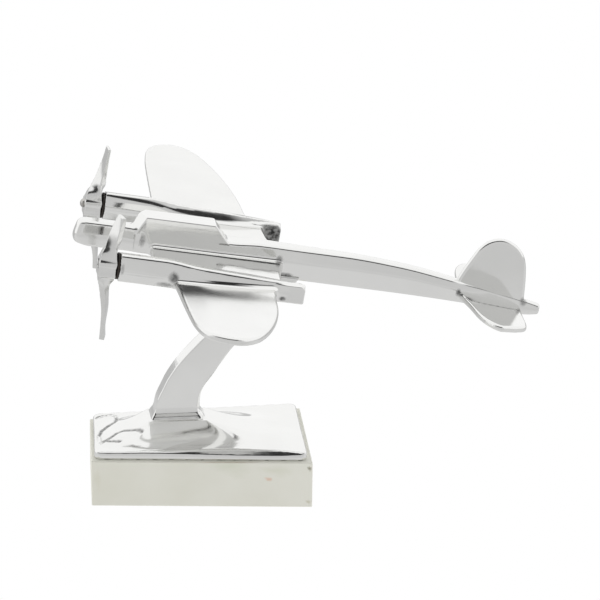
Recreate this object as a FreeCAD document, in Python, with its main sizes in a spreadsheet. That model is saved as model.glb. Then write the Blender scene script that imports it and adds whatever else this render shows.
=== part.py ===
import FreeCAD, Part
import math
import os
import Sketcher

# Desk model of a twin-engined propeller plane: polished aluminium castings on a curved arm,
# a cast cap and a painted wooden block.
# World frame: origin under the middle of the block, +X towards the tail, +Y to starboard, +Z up.
# Aircraft frame: origin midway between the nacelle fronts, x aft, y to starboard, z up.

V = FreeCAD.Vector
doc = FreeCAD.newDocument("propeller_plane")

# ---------------------------------------------------------------- driving dimensions (mm, degrees)
DIMENSIONS = [
    # stand
    ("base_length", 140), ("base_depth_nose", 72.3), ("base_depth_tail", 94.3), ("nose_skew", 1.2),
    ("block_height", 30.5), ("felt_proud", 0.5), ("felt_recess", 1.0), ("felt_inset", 8),
    ("cap_inset", 3.2), ("cap_nose_inset", 2.0), ("cap_edge", 3), ("cap_height", 17),
    ("arm_thickness", 14), ("arm_offset", -2.52),
    ("bolt_diameter", 6), ("bolt_head", 10), ("bolt_length", 52),
    ("screw_diameter", 4), ("screw_head", 8), ("screw_spacing", 88),
    ("stud_diameter", 4), ("stud_spacing", 11),
    # flight attitude
    ("nose_up", 9.36), ("turn", 2.6), ("hub_back", -55.46), ("hub_side", -5.04), ("hub_rise", 172.07),
    # aircraft
    ("fuselage_half_width", 8.26), ("deck_height", 8.5),
    ("canopy_top", 17), ("canopy_front", 19.5), ("canopy_rear", 64.3),
    ("nacelle_spacing", 117.8), ("nacelle_half", 8.5),
    ("wing_top", -1.2), ("wing_thickness", 4.6), ("wing_span", 379), ("wing_dihedral", 5.2),
    ("inner_wing_front", 25.5), ("inner_wing_rear", 110),
    ("fin_thickness", 4.6), ("stabilizer_thickness", 4.2), ("stabilizer_span", 120),
    ("dowel_diameter", 2.4),
    # propellers
    ("hub_depth", 10.9), ("hub_size", 14), ("hub_bore", 4.35),
    ("sleeve_diameter", 4.2), ("prop_screw_diameter", 3), ("prop_screw_head", 5.6),
    ("left_head_recess", 2.8), ("right_head_recess", 0), ("head_clearance", 0.4),
    ("washer_diameter", 16.6), ("washer_thickness", 1.0), ("end_gap", 0.35),
]
sheet = doc.addObject("Spreadsheet::Sheet", "dims")
for row, (alias, number) in enumerate(DIMENSIONS, start=1):
    sheet.set("A%d" % row, alias)
    sheet.set("B%d" % row, str(number))
    sheet.setAlias("B%d" % row, alias)
doc.recompute()


class Size:
    """A length or angle that carries its number and the spreadsheet formula it comes from."""

    def __init__(self, value, text):
        self.value = float(value)
        self.text = text

    def __add__(self, other):
        other = as_size(other)
        return Size(self.value + other.value, "(%s + %s)" % (self.text, other.text))

    def __sub__(self, other):
        other = as_size(other)
        return Size(self.value - other.value, "(%s - %s)" % (self.text, other.text))

    def __mul__(self, factor):
        return Size(self.value * factor, "(%s * %r)" % (self.text, factor))

    def __truediv__(self, divisor):
        return Size(self.value / divisor, "(%s / %r)" % (self.text, divisor))

    def __neg__(self):
        return Size(-self.value, "(0 - %s)" % self.text)


def as_size(number):
    return number if isinstance(number, Size) else Size(number, repr(float(number)))


def dim(alias):
    return Size(sheet.get(alias), "dims." + alias)


# ---------------------------------------------------------------- helpers
ATTITUDE = FreeCAD.Placement(
    V(dim("hub_back").value, dim("hub_side").value, dim("hub_rise").value),
    FreeCAD.Rotation(dim("turn").value, dim("nose_up").value, 0),
)
ARM_PLACE = FreeCAD.Placement(V(0, dim("arm_offset").value, 0), FreeCAD.Rotation(dim("turn").value, 0, 0))
SIDES = (("left", -1), ("right", 1))


def new_body(name, placement=None):
    body = doc.addObject("PartDesign::Body", name)
    body.Label = name
    if placement is not None:
        body.Placement = placement
    return body


def bind(obj, prop, size):
    """Ties a property to the formula behind a size."""
    size = as_size(size)
    obj.setExpression(prop, size.text)


def sketch_on(body, name, role, offset=0):
    """A sketch on one of the body's own origin planes, moved along the plane's normal."""
    plane = [f for f in body.Origin.OriginFeatures if f.Role == role][0]
    sketch = body.newObject("Sketcher::SketchObject", name)
    sketch.AttachmentSupport = [(plane, "")]
    sketch.MapMode = "FlatFace"
    offset = as_size(offset)
    sketch.AttachmentOffset = FreeCAD.Placement(V(0, 0, offset.value), FreeCAD.Rotation())
    bind(sketch, "AttachmentOffset.Base.z", offset)
    return sketch


def corner_of(sketch, geo, point):
    """Which end of a curve (1 or 2) lies on a point; arcs may run either way."""
    return 1 if sketch.getPoint(geo, 1).distanceToPoint(point) < 1e-6 else 2


def pin(sketch, geo, end, u, v):
    """Fixes a point of a curve at (u, v); sizes bring their formula along."""
    for kind, axis, value in (("DistanceX", -2, as_size(u)), ("DistanceY", -1, as_size(v))):
        if abs(value.value) < 1e-9:
            sketch.addConstraint(Sketcher.Constraint("PointOnObject", geo, end, axis))
            continue
        index = sketch.addConstraint(Sketcher.Constraint(kind, -1, 1, geo, end, value.value))
        if "dims." in value.text:
            sketch.setExpression("Constraints[%d]" % index, value.text)


def smooth_curve(start, passing, end, lead_in, lead_out):
    """A spline through the passing points that leaves and arrives along the given directions."""
    points = [start] + passing + [end]
    curve = Part.BSplineCurve()
    curve.interpolate(Points=points, InitialTangent=lead_in, FinalTangent=lead_out)
    return curve


def outline(sketch, points, through=None):
    """A closed outline. through gives, by the number of a curve's first point, what it passes:
    one point for an arc, a list of points for a spline that runs on from its neighbours."""
    through = through or {}
    corners = [V(as_size(u).value, as_size(v).value, 0) for u, v in points]
    count = len(corners)
    for i, start in enumerate(corners):
        end = corners[(i + 1) % count]
        if i not in through:
            sketch.addGeometry(Part.LineSegment(start, end), False)
        elif isinstance(through[i], list):
            passing = [V(u, v, 0) for u, v in through[i]]
            lead_in = (start - corners[i - 1]).normalize()
            lead_out = (corners[(i + 2) % count] - end).normalize()
            sketch.addGeometry(smooth_curve(start, passing, end, lead_in, lead_out), False)
        else:
            sketch.addGeometry(Part.Arc(start, V(through[i][0], through[i][1], 0), end), False)
    starts = [corner_of(sketch, i, corners[i]) for i in range(count)]
    for i in range(count):
        pin(sketch, i, starts[i], points[i][0], points[i][1])
    for i in range(count):
        following = (i + 1) % count
        join = Sketcher.Constraint("Coincident", i, 3 - starts[i], following, starts[following])
        sketch.addConstraint(join)
        if i in through and not isinstance(through[i], list):
            chord = corners[following] - corners[i]
            centre = sketch.Geometry[i].Center
            kind, value = ("DistanceX", centre.x) if abs(chord.y) > abs(chord.x) else ("DistanceY", centre.y)
            sketch.addConstraint(Sketcher.Constraint(kind, -1, 1, i, 3, value))
    return sketch


def circle(sketch, u, v, diameter):
    centre = V(as_size(u).value, as_size(v).value, 0)
    geo = sketch.addGeometry(Part.Circle(centre, V(0, 0, 1), diameter.value / 2), False)
    index = sketch.addConstraint(Sketcher.Constraint("Diameter", geo, diameter.value))
    sketch.setExpression("Constraints[%d]" % index, diameter.text)
    pin(sketch, geo, 3, u, v)
    return sketch


def pad(body, name, sketch, length, symmetric=False, reverse=False):
    feature = body.newObject("PartDesign::Pad", name)
    feature.Profile = sketch
    bind(feature, "Length", length)
    if symmetric:
        feature.SideType = "Symmetric"
    feature.Reversed = reverse
    return feature


def loft(body, name, sketches, ruled=True):
    feature = body.newObject("PartDesign::AdditiveLoft", name)
    feature.Profile = sketches[0]
    feature.Sections = sketches[1:]
    feature.Ruled = ruled
    return feature


def dress(body, kind, name, base, radius, wanted):
    """Fillets or chamfers the edges of base for which wanted(edge) is true."""
    doc.recompute()
    edges = ["Edge%d" % (i + 1) for i, edge in enumerate(base.Shape.Edges) if wanted(edge)]
    feature = body.newObject("PartDesign::" + kind, name)
    feature.Base = (base, edges)
    bind(feature, "Radius" if kind == "Fillet" else "Size", radius)
    doc.recompute()
    return feature


def rod(name, place, start, end, diameter):
    """A plain round rod along the x, y or z axis of place, from start to end."""
    axis = end - start
    turned = place.Rotation * FreeCAD.Rotation(V(0, 0, 1), axis)
    body = new_body(name, FreeCAD.Placement(place.multVec(start), turned))
    circle(sketch_on(body, name + "_round", "XY_Plane"), 0, 0, diameter)
    pad(body, name + "_length", body.Group[0], axis.Length)
    return body


def cut(name, base, tools):
    """base minus every tool, under the given name."""
    if len(tools) == 1:
        tool = tools[0]
    else:
        tool = doc.addObject("Part::MultiFuse", name + "_sockets")
        tool.Shapes = tools
    result = doc.addObject("Part::Cut", name)
    result.Label = name
    result.Base = base
    result.Tool = tool
    return result


# ---------------------------------------------------------------- stand
block_bottom = dim("felt_proud")
block_top = dim("felt_proud") + dim("block_height")
cap_top = block_top + dim("cap_height")
half_length = dim("base_length") / 2


def base_plan(inset, nose_inset=None):
    """The four corners of the tapered block, moved in by inset on every side. The nose end runs askew."""
    inset = as_size(inset)
    nose_inset = inset if nose_inset is None else nose_inset
    nose = dim("base_depth_nose") / 2 - inset
    tail = dim("base_depth_tail") / 2 - inset
    x = half_length - inset
    x_nose = half_length - nose_inset
    return [(-x_nose, -nose), (x, -tail), (x, tail), (dim("nose_skew") - x_nose, nose)]


block = new_body("base_block_blank")
outline(sketch_on(block, "block_plan", "XY_Plane", block_bottom), base_plan(0))
block_solid = pad(block, "block_solid", block.Group[0], dim("block_height"))
dress(block, "Fillet", "block_edges", block_solid, 0.7, lambda edge: True)
felt_bed = sketch_on(block, "felt_bed_plan", "XY_Plane", block_bottom)
outline(felt_bed, base_plan(dim("felt_inset")))
felt_cut = block.newObject("PartDesign::Pocket", "felt_bed")
felt_cut.Profile = felt_bed
felt_cut.Reversed = True
bind(felt_cut, "Length", dim("felt_recess"))

felt = new_body("felt_pad")
outline(sketch_on(felt, "felt_plan", "XY_Plane"), base_plan(dim("felt_inset")))
pad(felt, "felt_sheet", felt.Group[0], dim("felt_recess") + dim("felt_proud"))

# The cap: a plate with a rounded rim, and a hipped tent whose faces curve up to the arm's foot.
FOOT = (-33.6, 6.2)          # x of the nose and tail edges of the foot
FOOT_HALF = 11.4             # half depth of the foot
# share of the way in from the rim to the foot, share of the rise
TENT_STEPS = ((0.0, 0.0), (0.25, 0.08), (0.5, 0.26), (0.75, 0.56), (1.0, 1.0))
cap = new_body("base_cap_blank")
cap_plan = base_plan(dim("cap_inset"), dim("cap_nose_inset"))
outline(sketch_on(cap, "cap_plan", "XY_Plane", block_top), cap_plan)
RIM_RADIUS = 2.5
TENT_INSET = 3.2
rim_height = dim("cap_edge") + RIM_RADIUS + 0.1
cap_plate = pad(cap, "cap_plate", cap.Group[0], rim_height)
cap_corners = dress(cap, "Fillet", "cap_corners", cap_plate, 4, lambda edge: edge.BoundBox.ZLength > 5)
tent_low = block_top.value + rim_height.value
tent = []
tent_foot = base_plan(dim("cap_inset") + TENT_INSET, dim("cap_nose_inset") + TENT_INSET)
low = [(as_size(u).value, as_size(v).value) for u, v in tent_foot]
high = [(FOOT[0], -FOOT_HALF), (FOOT[1], -FOOT_HALF), (FOOT[1], FOOT_HALF), (FOOT[0], FOOT_HALF)]
foot_centre = dim("arm_offset").value + (FOOT[0] + FOOT[1]) / 2 * math.tan(math.radians(dim("turn").value))
for number, (across, up) in enumerate(TENT_STEPS):
    corners = []
    for (xl, yl), (xh, yh) in zip(low, high):
        corners.append((xl + (xh - xl) * across, yl + (yh + foot_centre - yl) * across))
    height = tent_low + (cap_top.value - tent_low) * up
    tent.append(outline(sketch_on(cap, "tent_%d" % number, "XY_Plane", height), corners))
dress(cap, "Fillet", "cap_rim", cap_corners, RIM_RADIUS,
      lambda edge: edge.BoundBox.ZLength < 0.01 and edge.BoundBox.ZMin > block_top.value + 1)
loft(cap, "cap_tent", tent)

# The arm: a flat bar that rises from the cap and sweeps aft to the belly.
arm = new_body("stand_arm_blank", ARM_PLACE)
ARM_NOSE_SIDE = [(-28.3, 54.8), (-27.0, 61.6), (-20.6, 75.2), (-9.1, 91.4), (4.3, 104.7)]
ARM_TAIL_SIDE = [(22.1, 96.8), (8.2, 77.3), (3.0, 70.2), (0.8, 64.4)]
arm_points = [
    (2.0, cap_top), (-29.2, cap_top), (-28.9, 49), (30, 132.7),
    (39.4, 143), (66, 143), (54.4, 131), (0.6, 49),
]
outline(sketch_on(arm, "arm_side", "XZ_Plane"), arm_points, {2: ARM_NOSE_SIDE, 6: ARM_TAIL_SIDE})
arm_bar = pad(arm, "arm_bar", arm.Group[0], dim("arm_thickness"), symmetric=True)
dress(arm, "Fillet", "arm_edges", arm_bar, 1.0,
      lambda edge: edge.BoundBox.YLength < 0.01 and edge.BoundBox.ZLength > 5)
flare = []
for number, (rise, spread) in enumerate(((0, 4.2), (1.5, 3.2), (7, 0.4), (9, 0.02))):
    z = cap_top.value + rise
    left = -29.2 + rise * 0.09 - spread
    right = 1.8 - rise * 0.16 + spread
    half = dim("arm_thickness") / 2 - 0.05 + spread
    corners = [(left, -half), (right, -half), (right, half), (left, half)]
    flare.append(outline(sketch_on(arm, "flare_%d" % number, "XY_Plane", z), corners))
loft(arm, "arm_foot", flare)

# ---------------------------------------------------------------- aircraft castings
def section(body, name, x, outline_points):
    """A cross-section on a plane across the aircraft, as (y, z) points."""
    return outline(sketch_on(body, name, "YZ_Plane", x), outline_points)


def hexagon(top, top_half, crease, crease_half, bottom, bottom_half):
    """The six-sided casting section: flat deck, widest at the parting line, flat keel."""
    return [(-top_half, top), (-crease_half, crease), (-bottom_half, bottom),
            (bottom_half, bottom), (crease_half, crease), (top_half, top)]


hull = new_body("fuselage_blank", ATTITUDE)
side = dim("fuselage_half_width")
deck = dim("deck_height")
# x, top, top half width, parting line, half width there, bottom, bottom half width
HULL = (
    (12.0, deck, 6.0, -0.6, 6.6, -8.0, 5.2),
    (19.5, deck, side, -0.8, side, -8.0, 6.6),
    (64.3, deck, side, -1.0, side, -10.2, 6.2),
    (76.0, 6.9, 7.8, -1.0, 8.1, -11.2, 5.8),
    (94.0, 7.9, 6.9, -1.1, 7.8, -12.3, 5.4),
    (120.0, 7.4, 5.5, -1.3, 7.3, -13.7, 5.0),
    (152.0, 7.0, 4.6, -1.3, 6.9, -14.0, 4.8),
    (186.0, 4.8, 4.3, -2.2, 6.4, -14.3, 4.6),
    (221.0, 0.0, 3.9, -6.0, 5.9, -15.1, 4.4),
    (250.0, -5.0, 3.6, -10.4, 5.2, -17.2, 3.9),
    (272.0, -8.7, 3.4, -13.4, 4.6, -18.7, 3.5),
    (281.8, -11.1, 2.8, -14.2, 3.6, -17.1, 2.8),
)
sections = [section(hull, "hull_%d" % n, row[0], hexagon(*row[1:])) for n, row in enumerate(HULL)]
loft(hull, "hull", sections)

# The nose: round-ended, slightly drooped, blending out to the flat sides behind the windshield.
NOSE = (
    (-24.2, 1.6, 2.4, -4.6), (-23.4, 4.4, 4.0, -5.9), (-21.7, 7.4, 5.0, -6.9),
    (-18.0, 8.3, 5.7, -7.5), (-8.0, 8.6, 6.0, -8.0), (12.0, deck.value, 6.0, -8.0),
)
nose = []
for number, (x, top, half, bottom) in enumerate(NOSE):
    r = 0.42 * half
    points = [(-half, bottom + r), (-half + r, bottom), (half - r, bottom), (half, bottom + r),
              (half, top - r), (half - r, top), (-half + r, top), (-half, top - r)]
    k = r * (1 - math.sqrt(0.5))
    bends = {0: (-half + k, bottom + k), 2: (half - k, bottom + k),
             4: (half - k, top - k), 6: (-half + k, top - k)}
    nose.append(outline(sketch_on(hull, "nose_%d" % number, "YZ_Plane", x), points, bends))
loft(hull, "nose", nose)

# The cabin: a solid block with a pointed windshield and a sloping rear.
cabin_low = [(11.4, 0), (16.6, -side), (74.0, -side), (74.0, side), (16.6, side)]
cabin_high = [(15.2, 0), (dim("canopy_front"), -side), (dim("canopy_rear"), -side),
              (dim("canopy_rear"), side), (dim("canopy_front"), side)]
cabin = [outline(sketch_on(hull, "cabin_low", "XY_Plane", 6.5), cabin_low),
         outline(sketch_on(hull, "cabin_high", "XY_Plane", dim("canopy_top")), cabin_high)]
loft(hull, "cabin", cabin)

hub_y = dim("nacelle_spacing").value / 2


def add_nacelle(name, sign):
    spot = FreeCAD.Placement(V(0, sign * hub_y, 0), FreeCAD.Rotation())
    body = new_body(name + "_nacelle_blank", ATTITUDE * spot)
    wide = dim("nacelle_half")
    # x, deck, deck half width, parting line, half width there, bottom, bottom half width
    stations = (
        (0.0, deck - 0.4, 5.3, -0.3, 8.2, -8.2, 5.2),
        (1.2, deck, 5.6, -0.4, wide, -8.4, 5.5),
        (30.0, deck - 0.3, 5.4, -0.8, wide, -8.7, 5.5),
        (50.0, 5.9, 4.9, -1.0, wide, -9.0, 5.4),
        (81.0, 4.4, 4.9, -1.6, 8.0, -9.3, 5.0),
        (100.0, 3.4, 3.9, -2.6, 5.6, -9.6, 3.9),
        (117.0, 2.4, 1.7, -3.4, 2.2, -9.6, 1.9),
    )
    cuts = [section(body, "%s_rib_%d" % (name, n), row[0], hexagon(*row[1:])) for n, row in enumerate(stations)]
    loft(body, name + "_shell", cuts)
    stub = section(body, name + "_stub_face", 98, [(-4.4, -9.5), (4.4, -9.5), (4.4, 2.2), (-4.4, 2.2)])
    pad(body, name + "_stub", stub, 19)
    return body


nacelles = {name: add_nacelle(name, sign) for name, sign in SIDES}


def plate(name, place, points, through, thickness, edge_radius, straight=()):
    """A flat casting with rounded edges; its top face is the XY plane of place."""
    body = new_body(name + "_blank", place)
    outline(sketch_on(body, name + "_plan", "XY_Plane"), points, through)
    slab = pad(body, name + "_plate", body.Group[0], thickness, reverse=True)

    def rim(edge):
        ends = [vertex.Point for vertex in edge.Vertexes]
        across = max(abs(p.z - ends[0].z) for p in ends) > 0.1
        cut_root = any(all(abs(p.y - y) < 0.01 for p in ends) for y in straight)
        return not across and not cut_root

    dress(body, "Fillet", name + "_edges", slab, edge_radius, rim)
    return body


wing_t = dim("wing_thickness")
inner = dim("inner_wing_front")
centre_end = hub_y - 4.5
wing_place = ATTITUDE * FreeCAD.Placement(V(0, 0, dim("wing_top").value), FreeCAD.Rotation())
rear = dim("inner_wing_rear")
centre_points = [(inner, 0), (23.6, -centre_end), (103.6, -centre_end), (rear, -8), (rear, 8),
                 (103.6, centre_end), (23.6, centre_end)]
centre_wing = plate("center_wing", wing_place, centre_points, {}, wing_t + 2.2, 2.0,
                    straight=(centre_end, -centre_end))

# Outer panels: rounded tips, straight swept trailing edges, a few degrees of dihedral.
ROOT_IN = 4.6                # from the nacelle's middle to the panel's root
half_span = dim("wing_span").value / 2


def add_outer_wing(name, sign):
    root = hub_y + ROOT_IN
    rise = -3.5 + 0.09 * (root - 60)
    lift = FreeCAD.Rotation(V(1, 0, 0), sign * dim("wing_dihedral").value)
    spot = FreeCAD.Placement(V(0, sign * root, rise), lift)
    reach = half_span - root
    points = [(35.0, 0), (35.2, reach - 50), (93.4, reach - 78), (98.0, 0)]
    tip = [(36.2, reach - 26), (39.4, reach - 10.5), (46.5, reach - 3.0), (57.0, reach), (66.0, reach - 3.6),
           (75.0, reach - 15.5), (85.4, reach - 43.0)]
    shaped = [(x, sign * y) for x, y in points]
    return plate(name + "_wing", ATTITUDE * spot, shaped, {1: [(x, sign * y) for x, y in tip]},
                 wing_t, 1.9, straight=(0,))


outer_wings = {name: add_outer_wing(name, sign) for name, sign in SIDES}


def add_stabilizer(name, sign):
    slope = FreeCAD.Rotation(V(0, 1, 0), math.degrees(math.atan(0.12)))
    up = FreeCAD.Rotation(V(1, 0, 0), sign * 1.7)
    spot = FreeCAD.Placement(V(230, sign * 1.0, -8.5), slope * up)
    reach = dim("stabilizer_span").value / 2 - 1
    points = [(-3.4, 0), (-2.0, 9), (37.2, 20), (39.6, 0)]
    tip = [(0.6, 23.0), (3.3, 43.0), (7.9, 53.8), (14.2, reach), (20.6, 56.4), (28.3, 51.6), (34.5, 44.6)]
    shaped = [(x, sign * y) for x, y in points]
    return plate(name + "_stabilizer", ATTITUDE * spot, shaped, {1: [(x, sign * y) for x, y in tip]},
                 dim("stabilizer_thickness"), 1.7, straight=(0,))


stabilizers = {name: add_stabilizer(name, sign) for name, sign in SIDES}

# The fin stands in a shallow slot in the boom.
fin = new_body("fin_blank", ATTITUDE)
fin_points = [(223.6, -3.4), (225.6, 0.6), (269.4, 6.0), (271.4, -11.4)]
FIN_TIP = [(231.0, 12.9), (235.8, 22.0), (241.5, 27.5), (248.3, 29.6), (255.0, 28.4),
           (262.0, 24.2), (266.6, 17.6)]
outline(sketch_on(fin, "fin_side", "XZ_Plane"), fin_points, {1: FIN_TIP})
fin_slab = pad(fin, "fin_slab", fin.Group[0], dim("fin_thickness"), symmetric=True)


def fin_rim(edge):
    ends = [vertex.Point for vertex in edge.Vertexes]
    return abs(ends[0].y - ends[-1].y) < 0.01 and max(p.z for p in ends) > 0


dress(fin, "Fillet", "fin_edges", fin_slab, 1.7, fin_rim)

# ---------------------------------------------------------------- dowels and studs
dowel = dim("dowel_diameter")
wing_pins = {}
for name, sign in SIDES:
    pins = []
    for n, x in enumerate((48, 84)):
        z = dim("wing_top").value - 3.2
        pins.append(rod("%s_wing_pin_%d" % (name, n), ATTITUDE, V(x, sign * (hub_y - 12), z),
                        V(x, sign * (hub_y + 11), z - 0.6), dowel))
    group = doc.addObject("Part::Compound", name + "_wing_pins")
    group.Links = pins
    wing_pins[name] = group
tail_pin = rod("tail_pin", ATTITUDE, V(246, -9, -12.6), V(246, 9, -12.6), dowel)
fin_pins = doc.addObject("Part::Compound", "fin_pins")
fin_pins.Links = [rod("fin_pin_%d" % n, ATTITUDE, V(x, 0, z - 2.2), V(x, 0, z + 6), dowel)
                  for n, (x, z) in enumerate(((236, -5.4), (260, -9.4)))]
studs = doc.addObject("Part::Compound", "arm_studs")
STUD_FRONT = 105.5           # x of the front stud
studs.Links = [rod("arm_stud_%d" % n, ATTITUDE, V(x, 0, -26), V(x, 0, -5), dim("stud_diameter"))
               for n, x in enumerate((STUD_FRONT, STUD_FRONT + dim("stud_spacing").value))]

# ---------------------------------------------------------------- stand fasteners
bolt_x = -13.5
bolt_y = dim("arm_offset").value + bolt_x * math.tan(math.radians(dim("turn").value))
head_seat = 12.0
bolt = new_body("arm_bolt", FreeCAD.Placement(V(bolt_x, bolt_y, 0), FreeCAD.Rotation()))
circle(sketch_on(bolt, "bolt_head_round", "XY_Plane", head_seat - 6.2), 0, 0, dim("bolt_head"))
pad(bolt, "bolt_head", bolt.Group[0], 5)
circle(sketch_on(bolt, "bolt_shank_round", "XY_Plane", head_seat - 1.2), 0, 0, dim("bolt_diameter"))
pad(bolt, "bolt_shank", bolt.Group[2], dim("bolt_length"))
bolt_washer = new_body("bolt_washer", bolt.Placement)
circle(sketch_on(bolt_washer, "washer_outer", "XY_Plane", head_seat - 1.2), 0, 0, dim("bolt_head") + 4)
circle(bolt_washer.Group[0], 0, 0, dim("bolt_diameter"))
pad(bolt_washer, "washer_disc", bolt_washer.Group[0], 1.2)
bolt_bore = rod("bolt_bore", bolt.Placement, V(0, 0, -1), V(0, 0, head_seat), dim("bolt_head") + 5)

screws = []
screw_bores = []
for n, sign in enumerate((-1, 1)):
    spot = FreeCAD.Placement(V(sign * dim("screw_spacing").value / 2, 0, 0), FreeCAD.Rotation())
    screw = new_body("base_screw_%d" % n, spot)
    circle(sketch_on(screw, "screw_head_round_%d" % n, "XY_Plane", head_seat - 3), 0, 0, dim("screw_head"))
    pad(screw, "screw_head_%d" % n, screw.Group[0], 3)
    circle(sketch_on(screw, "screw_shank_round_%d" % n, "XY_Plane", head_seat), 0, 0, dim("screw_diameter"))
    pad(screw, "screw_shank_%d" % n, screw.Group[2], 22.5)
    screws.append(screw)
    screw_bores.append(rod("screw_bore_%d" % n, spot, V(0, 0, -1), V(0, 0, head_seat), dim("screw_head") + 1))
base_screws = doc.addObject("Part::Compound", "base_screws")
base_screws.Links = screws

# ---------------------------------------------------------------- propellers
hub_depth = dim("hub_depth").value
hub_clear = dim("end_gap").value * 2 + dim("washer_thickness").value   # hub's rear face ahead of the nacelle
# distance from the axis, chord, thickness, turn of the blade from the disc plane, mid x
BLADES = {
    "left_upper": ((3, 10.6, 13.4, 89, -7.1), (6, 10, 12.4, 86, -7.1), (8.8, 9, 11, 82, -6.8),
                   (12.5, 7, 8.8, 68, -5.8), (20, 7.4, 4.8, 46, -4.7), (31.9, 8.2, 2.4, 16, -2.8)),
    "left_lower": ((3, 9.6, 11.2, 86, -7.2), (7, 9.2, 8.4, 80, -7), (9.2, 8.6, 6.4, 68, -6.9),
                   (13.9, 7.4, 4, 34, -6.9), (17, 7.8, 3.4, 28, -6.4), (30, 8.8, 2.8, 16, -4.2),
                   (40, 9.2, 2.6, 10, -3.7), (47.5, 10, 3.2, 10, -2.9)),
    "right_upper": ((3, 10.6, 13.4, 89, -7.1), (6, 10, 12.4, 86, -7.1), (8.8, 9, 11, 82, -6.8),
                    (12.5, 7.4, 7.6, 62, -5.7), (17, 7.2, 4.4, 36, -4.8), (24, 8.6, 2.6, 19, -4),
                    (31, 9.2, 2, 9, -3.2), (38.9, 9.2, 1.8, 4, -2.6)),
    "right_lower": ((3, 9.6, 11.2, 86, -7.2), (7, 9.2, 8.4, 80, -7), (9.2, 8.6, 6.4, 68, -6.9),
                    (13.9, 8.8, 4, 36, -5.4), (24, 9.2, 3, 20, -2.4), (34, 9.4, 2.6, 10, -0.1),
                    (41.9, 9.6, 2.6, 6, 0.8)),
}
BLADE_EDGE_BOW = 0.5
HUB_HALF_HEIGHT = 6.4


def blade_section(body, label, z, chord, thickness, turn, x):
    """A flat-sided section with bowed edges, turned about the blade's length."""
    along = V(math.sin(math.radians(turn)), math.cos(math.radians(turn)), 0)
    across = V(-along.y, along.x, 0)
    middle = V(x, 0, 0)
    half = chord / 2 - BLADE_EDGE_BOW
    r = thickness / 2
    corners = [middle + along * half + across * r, middle - along * half + across * r,
               middle - along * half - across * r, middle + along * half - across * r]
    ends = {1: middle - along * chord / 2, 3: middle + along * chord / 2}
    sketch = sketch_on(body, label, "XY_Plane", z)
    return outline(sketch, [(p.x, p.y) for p in corners], {n: (p.x, p.y) for n, p in ends.items()})


def add_propeller(name, place):
    """A squarish hub with an upper and a lower blade, twisted in opposite senses."""
    body = new_body(name + "_propeller_blank", place)
    hub_plan = sketch_on(body, name + "_hub_plan", "XY_Plane", -HUB_HALF_HEIGHT)
    half = dim("hub_size").value / 2
    back = -hub_clear
    outline(hub_plan, [(back - hub_depth, -half), (back, -half), (back, half), (back - hub_depth, half)])
    hub_block = pad(body, name + "_hub", hub_plan, 2 * HUB_HALF_HEIGHT)
    dress(body, "Fillet", name + "_hub_edges", hub_block, 1.2, lambda edge: True)
    for tag, up in (("upper", 1), ("lower", -1)):
        slices = []
        for n, (distance, chord, thickness, turn, x) in enumerate(BLADES[name + "_" + tag]):
            slices.append(blade_section(body, "%s_%s_%d" % (name, tag, n), up * distance,
                                        chord, thickness, -up * turn, x))
        loft(body, "%s_%s_blade" % (name, tag), slices)
    return body


def add_prop_screw(name, place, seat):
    """A button-head screw along the propeller axis; seat is the x of the underside of its head."""
    screw = new_body(name + "_prop_screw", place)
    profile = sketch_on(screw, name + "_screw_profile", "XY_Plane")
    r = dim("prop_screw_diameter").value / 2
    head = dim("prop_screw_head").value / 2
    tip = 14
    outline(profile, [(seat - 2.3, 0), (seat - 0.9, head), (seat, head), (seat, r), (tip, r), (tip, 0)],
            {0: (seat - 2.0, head * 0.55)})
    turned = screw.newObject("PartDesign::Revolution", name + "_screw_turned")
    turned.Profile = profile
    turned.ReferenceAxis = (profile, ["H_Axis"])
    turned.Angle = 360
    return screw


def add_ring(name, place, start, length, outer, inner):
    """A round tube along the propeller axis, from start aft over length."""
    body = new_body(name, place)
    ring = sketch_on(body, name + "_ring", "YZ_Plane", start)
    circle(ring, 0, 0, outer)
    circle(ring, 0, 0, inner)
    pad(body, name + "_tube", ring, length)
    return body


propellers = {}
prop_screws = {}
sleeves = {}
washers = {}
for name, sign in SIDES:
    place = ATTITUDE * FreeCAD.Placement(V(0, sign * hub_y, 0), FreeCAD.Rotation())
    recess = dim(name + "_head_recess")
    face = -hub_clear - hub_depth
    seat = face + recess.value - dim("end_gap").value
    bores = [rod(name + "_hub_bore", place, V(face - 3, 0, 0), V(2, 0, 0), dim("hub_bore"))]
    if recess.value > 0:
        bores.append(rod(name + "_head_recess", place, V(face - 3, 0, 0), V(face + recess.value, 0, 0),
                         dim("prop_screw_head") + dim("head_clearance") * 2))
    propellers[name] = cut(name + "_propeller", add_propeller(name, place), bores)
    sleeves[name] = add_ring(name + "_prop_sleeve", place, seat, -seat,
                             dim("sleeve_diameter"), dim("prop_screw_diameter"))
    washer_front = -(dim("end_gap") + dim("washer_thickness"))
    washers[name] = add_ring(name + "_prop_washer", place, washer_front, dim("washer_thickness"),
                             dim("washer_diameter"), dim("sleeve_diameter"))
    prop_screws[name] = add_prop_screw(name, place, seat)

# ---------------------------------------------------------------- joining cuts and hand-over
nodes = {}


def keep(name, obj):
    obj.Label = name
    nodes[name] = obj


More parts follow.
